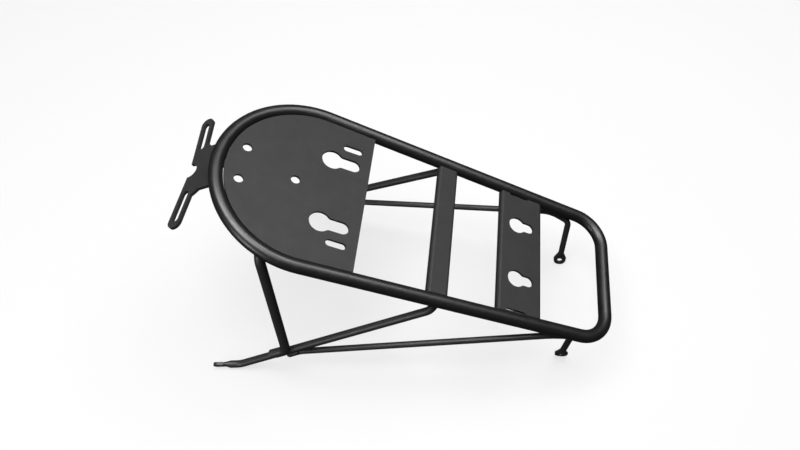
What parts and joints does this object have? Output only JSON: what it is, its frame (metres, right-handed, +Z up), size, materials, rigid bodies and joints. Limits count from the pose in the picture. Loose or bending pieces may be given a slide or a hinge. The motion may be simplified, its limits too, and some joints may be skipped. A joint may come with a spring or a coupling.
{
  "type": "luggage rack",
  "caption": "Fixed welded luggage rack: tapered tube hoop with a round raised end, perforated plates between its rails, bent-rod legs and stays, and a slotted bracket.",
  "frame": {"origin": "centre of the bounding box's floor: on the floor, under the middle of the rack, between the left and right legs", "axes": "+Z up; +X to the rear, which is the lower end of the deck, so the round raised end and its bracket point to -X; +Y to the right-hand side as seen by someone facing the round end from behind the rack's rear"},
  "size_m": [0.404, 0.2114, 0.2205],
  "materials": {
    "tube_coat": "satin black powder coat on tube",
    "rod_coat": "satin black powder coat on round rod",
    "plate_coat": "matte black powder coat on sheet",
    "weld_coat": "satin black powder coat over a rippled weld bead"
  },
  "bodies": {
    "root": {"main_hoop": "tube_coat", "front_plate": "plate_coat", "middle_cross_plate": "plate_coat", "rear_cross_plate": "plate_coat", "front_bracket": "plate_coat", "main_legs": "rod_coat", "front_arch": "rod_coat", "rear_stay_right": "rod_coat", "rear_stay_left": "rod_coat", "leg_rail_weld_right": "weld_coat", "leg_rail_weld_left": "weld_coat", "arch_hoop_weld_right": "weld_coat", "arch_hoop_weld_left": "weld_coat", "stay_rail_weld_right": "weld_coat", "stay_rail_weld_left": "weld_coat", "arch_leg_weld_right": "weld_coat", "arch_leg_weld_left": "weld_coat", "stay_leg_weld_right": "weld_coat", "stay_leg_weld_left": "weld_coat", "bracket_weld_right": "weld_coat", "bracket_weld_left": "weld_coat", "front_plate_weld_right": "weld_coat", "front_plate_weld_left": "weld_coat", "middle_plate_weld_right": "weld_coat", "middle_plate_weld_left": "weld_coat", "rear_plate_weld_right": "weld_coat", "rear_plate_weld_left": "weld_coat", "front_plate_nose_tack": "weld_coat"}
  },
  "joints": []
}
